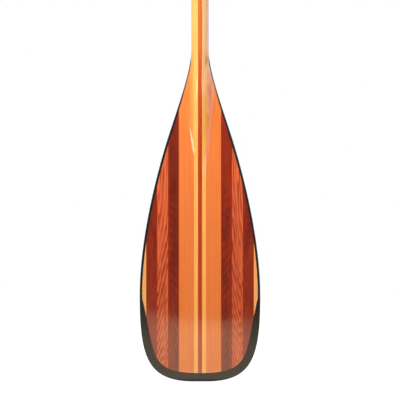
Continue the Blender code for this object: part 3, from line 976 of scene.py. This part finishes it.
def dark_walnut(tree, place):
    """Dark red-brown with curved ribs, purple patches, open pores and redder edges."""
    ribs = apply_group(
        tree,
        CURVED_FIGURE,
        place,
        Across=-165.0,
        Across_Change=450.0,
        Along=52.0,
        Wave=1.5,
        Wave_Width=0.016,
        Wave_Length=0.075,
        Patch=0.0,
    )
    pores = apply_group(
        tree, STRAIGHT_GRAIN, place, Width=0.0006, Length=0.009, Start=0.60, Full=0.70
    )
    tone = apply_group(tree, SLOW_TONE, place, Width=0.009, Length=0.040)
    purple = apply_group(tree, SLOW_TONE, place, Width=0.013, Length=0.075)
    edge = apply_group(tree, GLUE_EDGE, place, Width=0.0040)
    parts = axes(tree, place)
    base = blend_colours(tree, tone["Tone"], (0.160, 0.0130, 0.0042), (0.300, 0.0300, 0.0075))
    upper = rise(tree, parts["Z"], 0.22, 0.34)
    for side, colour in ((0.010, (0.345, 0.0300, 0.0090)), (-0.010, (0.120, 0.0120, 0.0050))):
        base = tint(tree, base, rise(tree, parts["X"], 0.0, side, 0.0, 0.5), upper, colour)
    outer = rise(tree, calculate(tree, "ABSOLUTE", parts["X"]), 0.060, 0.070)
    lower = rise(tree, parts["Z"], 0.27, 0.20, 0.0, 0.32)
    base = tint(tree, base, outer, lower, (0.350, 0.0350, 0.0165))
    lowest = rise(tree, parts["Z"], 0.21, 0.15, 0.0, 0.22)
    base = blend_colours(tree, lowest, base, (0.300, 0.0420, 0.0110))
    base = tint(tree, base, rise(tree, purple["Tone"], 0.45, 1.0), 0.55, (0.215, 0.0190, 0.0165))
    right = rise(tree, parts["X"], 0.0, 0.010)
    ribbed = calculate(tree, "MULTIPLY", right, rise(tree, parts["Z"], 0.22, 0.26))
    plain = calculate(tree, "MULTIPLY", outer, calculate(tree, "SUBTRACT", 1.0, ribbed))
    rib = calculate(tree, "MULTIPLY", ribs["Line"], rise(tree, plain, 0.0, 1.0, 0.50, 0.08))
    below_throat = rise(tree, parts["Z"], 0.37, 0.30, 0.2, 1.0)
    base = tint(tree, base, rib, below_throat, (0.105, 0.0080, 0.0055))
    base = tint(tree, base, edge["Edge"], 0.90, (0.310, 0.0240, 0.0030))
    base = tint(tree, base, pores["Line"], 0.40, (0.070, 0.0060, 0.0035))
    relief = calculate(tree, "ADD", calculate(tree, "MULTIPLY", ribs["Line"], 0.5), pores["Line"])
    return base, calculate(tree, "MULTIPLY", relief, -0.6)


def flame_redwood(tree, place):
    """Salmon red with wavy darker growth lines that lean towards the middle."""
    parts = axes(tree, place)
    flame = apply_group(
        tree,
        CURVED_FIGURE,
        place,
        Across=200.0,
        Along=75.0,
        Along_Change=-96.0,
        Wave=2.1,
        Wave_Width=0.0055,
        Wave_Length=0.125,
        Patch=0.20,
    )
    lines = apply_group(tree, STRAIGHT_GRAIN, place, Width=0.0012, Length=0.07)
    tone = apply_group(tree, SLOW_TONE, place, Width=0.0035, Length=0.12)
    upper = rise(tree, parts["Z"], 0.16, 0.38)
    base = blend_colours(tree, upper, (0.60, 0.095, 0.030), (0.72, 0.125, 0.036))
    base = tint(tree, base, tone["Tone"], 0.62, (0.77, 0.175, 0.060))
    base = tint(tree, base, flame["Line"], 0.95, (0.33, 0.030, 0.010))
    base = tint(tree, base, lines["Line"], 0.25, (0.42, 0.050, 0.018))
    return base, calculate(tree, "MULTIPLY", flame["Line"], 0.6)


def pale_pine(tree, place):
    """Pale wood with faint lines."""
    lines = apply_group(tree, STRAIGHT_GRAIN, place, Width=0.0010, Length=0.10)
    tone = apply_group(tree, SLOW_TONE, place, Width=0.006, Length=0.06)
    base = blend_colours(tree, tone["Tone"], (0.87, 0.375, 0.100), (0.94, 0.440, 0.140))
    return tint(tree, base, lines["Line"], 0.4, (0.76, 0.260, 0.065)), lines["Line"]


def guard_resin(tree, place):
    """Black cast resin with short cloth fibres in it."""
    fibres = apply_group(
        tree, STRAIGHT_GRAIN, place, Width=0.0005, Length=0.0030, Start=0.5, Full=0.75
    )
    tone = apply_group(tree, SLOW_TONE, place, Width=0.004, Length=0.006)
    base = blend_colours(tree, tone["Tone"], (0.0100, 0.0078, 0.0080), (0.0160, 0.0130, 0.0130))
    return tint(tree, base, fibres["Line"], 0.5, (0.0280, 0.0230, 0.0210)), fibres["Line"]


MATERIALS = {
    wood.__name__: finish_material(wood.__name__, wood, *VARNISH)
    for wood in (red_cedar, yellow_spruce, orange_cedar, dark_walnut, flame_redwood, pale_pine)
}
MATERIALS["guard_resin"] = finish_material("guard_resin", guard_resin, *RESIN_GLOSS)


def dress(piece, node):
    """Name a finished piece, give it its finish and let it stand for its node."""
    slot = SLOTS[node]
    piece.data.materials.clear()
    piece.data.materials.append(MATERIALS[slot])
    piece.name = piece.data.name = node + "_finished"
    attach(piece, "root")
    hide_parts(node)


for board in sawn_apart(planed_blank()):
    close_glue_faces(board)
    dress(board, board.data.materials[0].name)
for guard in guards():
    dress(guard, guard.data.materials[0].name)


# Camera, floor and light

# The room as the varnish mirrors it, in degrees round from the camera to the right and up:
# left, right, bottom, top, softness and colour of each bright part
ROOM_WINDOWS = {
    "window edge": (-35.0, -26.0, -3.4, -2.2, 1.5, (20.0, 19.0, 11.0)),
    "left wall": (-180.0, -60.0, -60.0, 80.0, 14.0, (0.12, 0.12, 0.10)),
    "right wall": (18.0, 180.0, -60.0, 80.0, 12.0, (0.50, 0.50, 0.55)),
    "right window": (88.0, 112.0, -6.0, 80.0, 16.0, (0.6, 0.6, 0.6)),
    "upper window": (36.0, 132.0, 0.3, 80.0, 3.0, (2.2, 2.2, 1.9)),
    "low window": (10.0, 75.0, -8.0, -1.1, 2.2, (1.3, 1.3, 1.4)),
}

# Glows. The backdrop's starts and is full where a mirrored direction's Y has these two values.
ROOM_GLOW = 0.04
BACKDROP_GLOW = 0.25
BACKDROP_TURN = (0.0, 0.7)
FILL_GLOW = 0.27

# Low card in front of the tip, which the varnish mirrors as a soft haze. Each end is a distance to
# the front and a height, and the card fades and rises between two places along Y.
CARD_NEAR = (0.04, 0.002)
CARD_FAR = (1.60, 0.1263)
CARD_FADE = (-1.01, -0.84)
CARD_FADE_SLANT = 0.42
CARD_WIDTH = 0.70
CARD_RISE = (-0.95, -0.55)
CARD_DIM = 0.58
CARD_GLOW = (1.58, 1.32, 0.84)

# Floor. A glow changes between the two distances of its reach, from the tip outwards or, for the
# backdrop, behind the paddle.
FLOOR_SIZE = 12.0
FLOOR_CELLS = 8
FLOOR_SHADE = 0.14
FLOOR_LIT_SHADE = 0.30
FLOOR_GLOW = 0.92
FLOOR_GLOW_REACH = (0.5, 2.5)
BACKDROP_REACH = (-0.1, 1.2)
TIP_FLOOR_GLOW = 0.60
TIP_FLOOR_REACH = (0.22, 0.12)

# Soft square lamps: place, target, side, power and spread in degrees
LAMPS = {
    "key_left": ((-1.10, -1.39, 2.50), (0.0, 0.0, 0.40), 1.6, 117.0, 180.0),
    "throat_left": ((-0.90, -1.50, 1.25), (0.0, 0.0, 0.60), 0.4, 0.45, 30.0),
    "back": ((0.90, 2.20, 2.60), (0.0, 0.0, 0.60), 1.8, 110.0, 180.0),
}


def camera():
    data = bpy.data.cameras.new("camera")
    data.sensor_width = SENSOR_WIDTH
    data.lens = SENSOR_WIDTH * CAMERA_DISTANCE / FRAME_HEIGHT
    data.clip_start, data.clip_end = CLIP_RANGE
    item = bpy.data.objects.new("camera", data)
    item.location = (0.0, -CAMERA_DISTANCE, FRAME_MIDDLE)
    item.rotation_euler = (pi / 2, 0.0, 0.0)
    bpy.context.scene.collection.objects.link(item)
    bpy.context.scene.camera = item


def mix_shaders(tree, share, first, second):
    """Mix two shaders by a share, which is a value or another node's socket."""
    node = add(tree, "ShaderNodeMixShader", Fac=share)
    tree.links.new(first, node.inputs[1])
    tree.links.new(second, node.inputs[2])
    return node.outputs[0]


def grey(value):
    return (value, value, value, 1.0)


def floor():
    """A pale floor. The camera sees it white, with the paddle's shadow faint on it."""
    bpy.ops.mesh.primitive_grid_add(
        x_subdivisions=FLOOR_CELLS, y_subdivisions=FLOOR_CELLS, size=FLOOR_SIZE
    )
    piece = bpy.context.object
    piece.name = "studio_floor"
    material = bpy.data.materials.new("studio_floor")
    material.use_nodes = True
    tree = material.node_tree
    tree.nodes.clear()
    path = add(tree, "ShaderNodeLightPath")
    place = add(tree, "ShaderNodeTexCoord").outputs["Object"]
    away = add(tree, "ShaderNodeVectorMath", {"operation": "LENGTH"}, Vector=place).outputs["Value"]
    behind = axes(tree, place)["Y"]
    dull = add(tree, "ShaderNodeBsdfDiffuse", Color=grey(FLOOR_LIT_SHADE))
    shade = add(tree, "ShaderNodeBsdfDiffuse", Color=grey(FLOOR_SHADE))
    glow = rise(tree, away, *FLOOR_GLOW_REACH, FLOOR_GLOW, 1.0)
    glow = add(tree, "ShaderNodeEmission", Strength=glow)
    white = add(tree, "ShaderNodeAddShader")
    tree.links.new(shade.outputs[0], white.inputs[0])
    tree.links.new(glow.outputs[0], white.inputs[1])
    mirrored = rise(tree, behind, *BACKDROP_REACH, ROOM_GLOW, BACKDROP_GLOW)
    at_tip = rise(tree, away, *TIP_FLOOR_REACH, 0.0, TIP_FLOOR_GLOW)
    mirrored = calculate(tree, "ADD", mirrored, at_tip)
    mirrored = add(tree, "ShaderNodeEmission", Strength=mirrored)
    seen = mix_shaders(tree, path.outputs["Is Glossy Ray"], dull.outputs[0], mirrored.outputs[0])
    seen = mix_shaders(tree, path.outputs["Is Camera Ray"], seen, white.outputs[0])
    add(tree, "ShaderNodeOutputMaterial", Surface=seen)
    piece.data.materials.append(material)


def window_mask(tree, azimuth, elevation, left, right, bottom, top, softness):
    """1 inside a bright part of the room, fading to 0 past its edges."""
    half = softness / 2
    left_side = rise(tree, azimuth, left - half, left + half)
    right_side = rise(tree, azimuth, right + half, right - half)
    lower_side = rise(tree, elevation, bottom - half, bottom + half)
    upper_side = rise(tree, elevation, top + half, top - half)
    across = calculate(tree, "MULTIPLY", left_side, right_side)
    return calculate(tree, "MULTIPLY", across, calculate(tree, "MULTIPLY", lower_side, upper_side))


def studio_world():
    """White to the camera and to clear things, soft fill light, and a room for the varnish."""
    world = bpy.data.worlds.new("studio")
    bpy.context.scene.world = world
    world.use_nodes = True
    tree = world.node_tree
    tree.nodes.clear()
    path = add(tree, "ShaderNodeLightPath")
    way = add(tree, "ShaderNodeTexCoord").outputs["Generated"]
    way = axes(tree, way)
    ahead = calculate(tree, "MULTIPLY", way["Y"], -1.0)
    azimuth = calculate(tree, "DEGREES", calculate(tree, "ARCTAN2", way["X"], ahead))
    elevation = calculate(tree, "DEGREES", calculate(tree, "ARCSINE", way["Z"]))
    backdrop = rise(tree, way["Y"], *BACKDROP_TURN)
    glow = blend_colours(tree, backdrop, grey(ROOM_GLOW)[:3], grey(BACKDROP_GLOW)[:3])
    for *window, colour in ROOM_WINDOWS.values():
        mask = window_mask(tree, azimuth, elevation, *window)
        glow = blend_colours(tree, mask, glow, colour, "ADD")
    room = add(tree, "ShaderNodeBackground", Color=glow)
    fill = add(tree, "ShaderNodeBackground", Color=grey(FILL_GLOW))
    white = add(tree, "ShaderNodeBackground", Color=grey(1.0))
    seen = mix_shaders(tree, path.outputs["Is Glossy Ray"], fill.outputs[0], room.outputs[0])
    clear = path.outputs["Is Transmission Ray"]
    clear = calculate(tree, "MAXIMUM", path.outputs["Is Camera Ray"], clear)
    seen = mix_shaders(tree, clear, seen, white.outputs[0])
    add(tree, "ShaderNodeOutputWorld", Surface=seen)


def area_lamp(name, place, turn, width, height, power, colour=(1.0, 1.0, 1.0)):
    lamp = bpy.data.lights.new(name, "AREA")
    lamp.shape = "RECTANGLE"
    lamp.size, lamp.size_y = width, height
    lamp.energy = power
    lamp.color = colour
    item = bpy.data.objects.new(name, lamp)
    bpy.context.scene.collection.objects.link(item)
    item.location = place
    item.rotation_euler = turn.to_euler()
    item.visible_camera = False
    return item


def soft_lamp(name, place, target, size, power, spread):
    turn = (Vector(target) - Vector(place)).to_track_quat("-Z", "Y")
    item = area_lamp(name, place, turn, size, size, power)
    item.data.spread = radians(spread)


def haze_card():
    """The low card. It lights nothing by itself: only the gloss of the varnish shows it."""
    near = Vector((0.0, -CARD_NEAR[0], CARD_NEAR[1]))
    far = Vector((0.0, -CARD_FAR[0], CARD_FAR[1]))
    away = (far - near).normalized()
    across = Vector((1.0, 0.0, 0.0))
    down = across.cross(away).normalized()
    turn = Matrix((across, down.cross(across), down)).transposed()
    length = (far - near).length
    power = max(CARD_GLOW) * pi * length * CARD_WIDTH
    colour = [value / max(CARD_GLOW) for value in CARD_GLOW]
    card = area_lamp("haze_card", (near + far) / 2, turn, CARD_WIDTH, length, power, colour)
    card.visible_diffuse = False
    card.data.use_nodes = True
    tree = card.data.node_tree
    place = add(tree, "ShaderNodeNewGeometry").outputs["Position"]
    parts = axes(tree, place)
    depth = calculate(tree, "MULTIPLY", parts["X"], CARD_FADE_SLANT)
    depth = calculate(tree, "SUBTRACT", parts["Y"], depth)
    dimmed = rise(tree, depth, *CARD_RISE, CARD_DIM, 1.0)
    strength = calculate(tree, "MULTIPLY", rise(tree, depth, *CARD_FADE), dimmed)
    wire(tree, strength, tree.nodes["Emission"].inputs["Strength"])


camera()
floor()
studio_world()
for name, lamp in LAMPS.items():
    soft_lamp(name, *lamp)
haze_card()
bpy.context.scene.view_settings.view_transform = "Standard"
